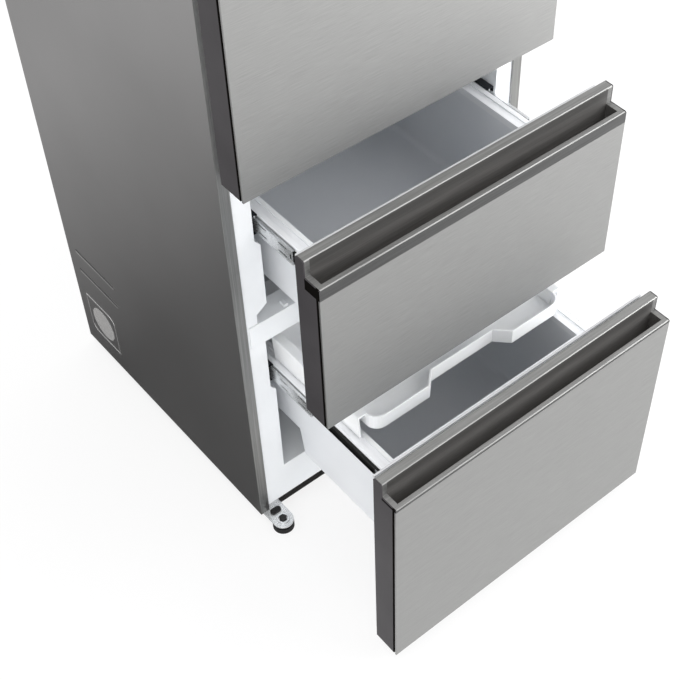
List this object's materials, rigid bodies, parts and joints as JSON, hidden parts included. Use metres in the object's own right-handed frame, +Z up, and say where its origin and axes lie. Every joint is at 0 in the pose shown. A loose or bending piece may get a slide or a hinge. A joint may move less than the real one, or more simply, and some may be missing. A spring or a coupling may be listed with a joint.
{
  "type": "fridge freezer",
  "caption": "Tall stainless fridge freezer with a wide door above pull-out freezer drawers, shown with the drawers open",
  "frame": {"origin": "on the floor, in the middle of the space that the part takes with its drawers pulled out", "axes": "X to the right seen from the front, Y from the front to the back, Z up"},
  "size_m": [0.5966, 0.9804, 1.905],
  "materials": {
    "steel_front": "brushed stainless steel with fine streaks across",
    "cabinet_paint": "dark metallic grey paint on sheet steel",
    "zinc_sheet": "plain galvanised sheet",
    "white_liner": "smooth white vacuum-formed plastic",
    "white_tray": "smooth white moulded plastic",
    "clear_bin": "translucent moulded plastic",
    "grey_cap": "dark grey moulded plastic",
    "black_plastic": "black moulded plastic",
    "foam": "rigid polyurethane foam",
    "gasket_grey": "soft light grey magnetic seal",
    "slide_steel": "bright zinc-plated rolled steel",
    "slide_dark": "dark coated rolled steel",
    "black_metal": "black painted steel",
    "fin_metal": "plain aluminium",
    "shelf_glass": "clear toughened glass",
    "black_rubber": "black rubber",
    "lamp_cover": "milky light cover"
  },
  "bodies": {
    "cabinet": {"outer_shell": "cabinet_paint", "side_discs": "white_tray", "back_panel": "zinc_sheet", "insulation": "foam", "fridge_liner": "white_liner", "freezer_liner": "white_liner", "centre_rail": "white_liner", "base_strip": "black_plastic", "base_pan": "zinc_sheet", "foot_brackets": "slide_steel", "foot_plugs": "black_plastic", "roller_brackets": "zinc_sheet", "compressor": "black_metal", "compressor_mounts": "black_rubber", "condenser_coil": "black_metal", "drain_pan": "black_plastic", "machine_cover": "zinc_sheet", "evaporator": "fin_metal", "evaporator_cover": "white_liner", "air_duct": "white_liner", "light_bar": "lamp_cover", "top_hinge": "slide_steel", "hinge_cover": "grey_cap", "middle_hinge": "black_metal", "shelf_glass": "shelf_glass", "shelf_trims": "white_tray", "upper_outer_rails": "slide_dark", "lower_outer_rails": "slide_dark"},
    "door": {"door_skin": "steel_front", "door_frame": "grey_cap", "door_handle": "grey_cap", "door_liner": "white_liner", "door_gasket": "gasket_grey", "door_bins": "clear_bin", "bottle_bin": "clear_bin"},
    "upper_drawer": {"upper_front_skin": "steel_front", "upper_front_frame": "grey_cap", "upper_handle": "grey_cap", "upper_inner_panel": "white_liner", "upper_gasket": "gasket_grey", "upper_bin": "white_tray", "upper_inner_rails": "slide_dark"},
    "lower_drawer": {"lower_front_skin": "steel_front", "lower_front_frame": "grey_cap", "lower_handle": "grey_cap", "lower_inner_panel": "white_liner", "lower_gasket": "gasket_grey", "lower_bin": "white_tray", "lower_inner_rails": "slide_dark"},
    "left_foot": {"left_foot": "black_plastic"},
    "right_foot": {"right_foot": "black_plastic"},
    "left_roller": {"left_roller": "black_plastic"},
    "right_roller": {"right_roller": "black_plastic"},
    "evaporator_fan": {"evaporator_fan": "white_tray"},
    "condenser_fan": {"condenser_fan": "black_plastic"},
    "crisper": {"crisper": "clear_bin"},
    "upper_mid_rails": {"upper_mid_rails": "slide_steel"},
    "lower_mid_rails": {"lower_mid_rails": "slide_steel"},
    "lower_tray": {"lower_tray": "white_tray"}
  },
  "joints": [
    {"name": "door_hinge", "type": "hinge", "parent": "cabinet", "child": "door", "pos_m": [0.285, -0.13775, 0.837], "axis": [0, 0, 1], "range_deg": [0, 115]},
    {"name": "upper_drawer_slide", "type": "slide", "parent": "cabinet", "child": "upper_drawer", "axis": [0, -1, 0], "range_m": [-0.1655, 0.2345]},
    {"name": "lower_drawer_slide", "type": "slide", "parent": "cabinet", "child": "lower_drawer", "axis": [0, -1, 0], "range_m": [-0.3235, 0.0765]},
    {"name": "upper_mid_slide", "type": "slide", "parent": "cabinet", "child": "upper_mid_rails", "axis": [0, -1, 0], "range_m": [-0.08275, 0.11725]},
    {"name": "lower_mid_slide", "type": "slide", "parent": "cabinet", "child": "lower_mid_rails", "axis": [0, -1, 0], "range_m": [-0.16175, 0.03825]},
    {"name": "tray_slide", "type": "slide", "parent": "lower_drawer", "child": "lower_tray", "axis": [0, -1, 0], "range_m": [-0.06, 0.06]},
    {"name": "crisper_slide", "type": "slide", "parent": "cabinet", "child": "crisper", "axis": [0, -1, 0], "range_m": [0, 0.03]},
    {"name": "left_foot_turn", "type": "hinge", "parent": "cabinet", "child": "left_foot", "pos_m": [-0.27225, -0.13575, 0], "axis": [0, 0, 1], "continuous": true},
    {"name": "right_foot_turn", "type": "hinge", "parent": "cabinet", "child": "right_foot", "pos_m": [0.27225, -0.13575, 0], "axis": [0, 0, 1], "continuous": true},
    {"name": "left_roller_turn", "type": "hinge", "parent": "cabinet", "child": "left_roller", "pos_m": [-0.2275, 0.45025, 0.009], "axis": [1, 0, 0], "continuous": true},
    {"name": "right_roller_turn", "type": "hinge", "parent": "cabinet", "child": "right_roller", "pos_m": [0.2275, 0.45025, 0.009], "axis": [1, 0, 0], "continuous": true},
    {"name": "evaporator_fan_turn", "type": "hinge", "parent": "cabinet", "child": "evaporator_fan", "pos_m": [0, 0.37625, 0.6865], "axis": [0, 1, 0], "continuous": true},
    {"name": "condenser_fan_turn", "type": "hinge", "parent": "cabinet", "child": "condenser_fan", "pos_m": [0.072, 0.37375, 0.09625], "axis": [1, 0, 0], "continuous": true}
  ],
  "couplings": [
    {"joint": "upper_mid_slide", "follows": "upper_drawer_slide", "ratio": 0.5},
    {"joint": "lower_mid_slide", "follows": "lower_drawer_slide", "ratio": 0.5}
  ]
}
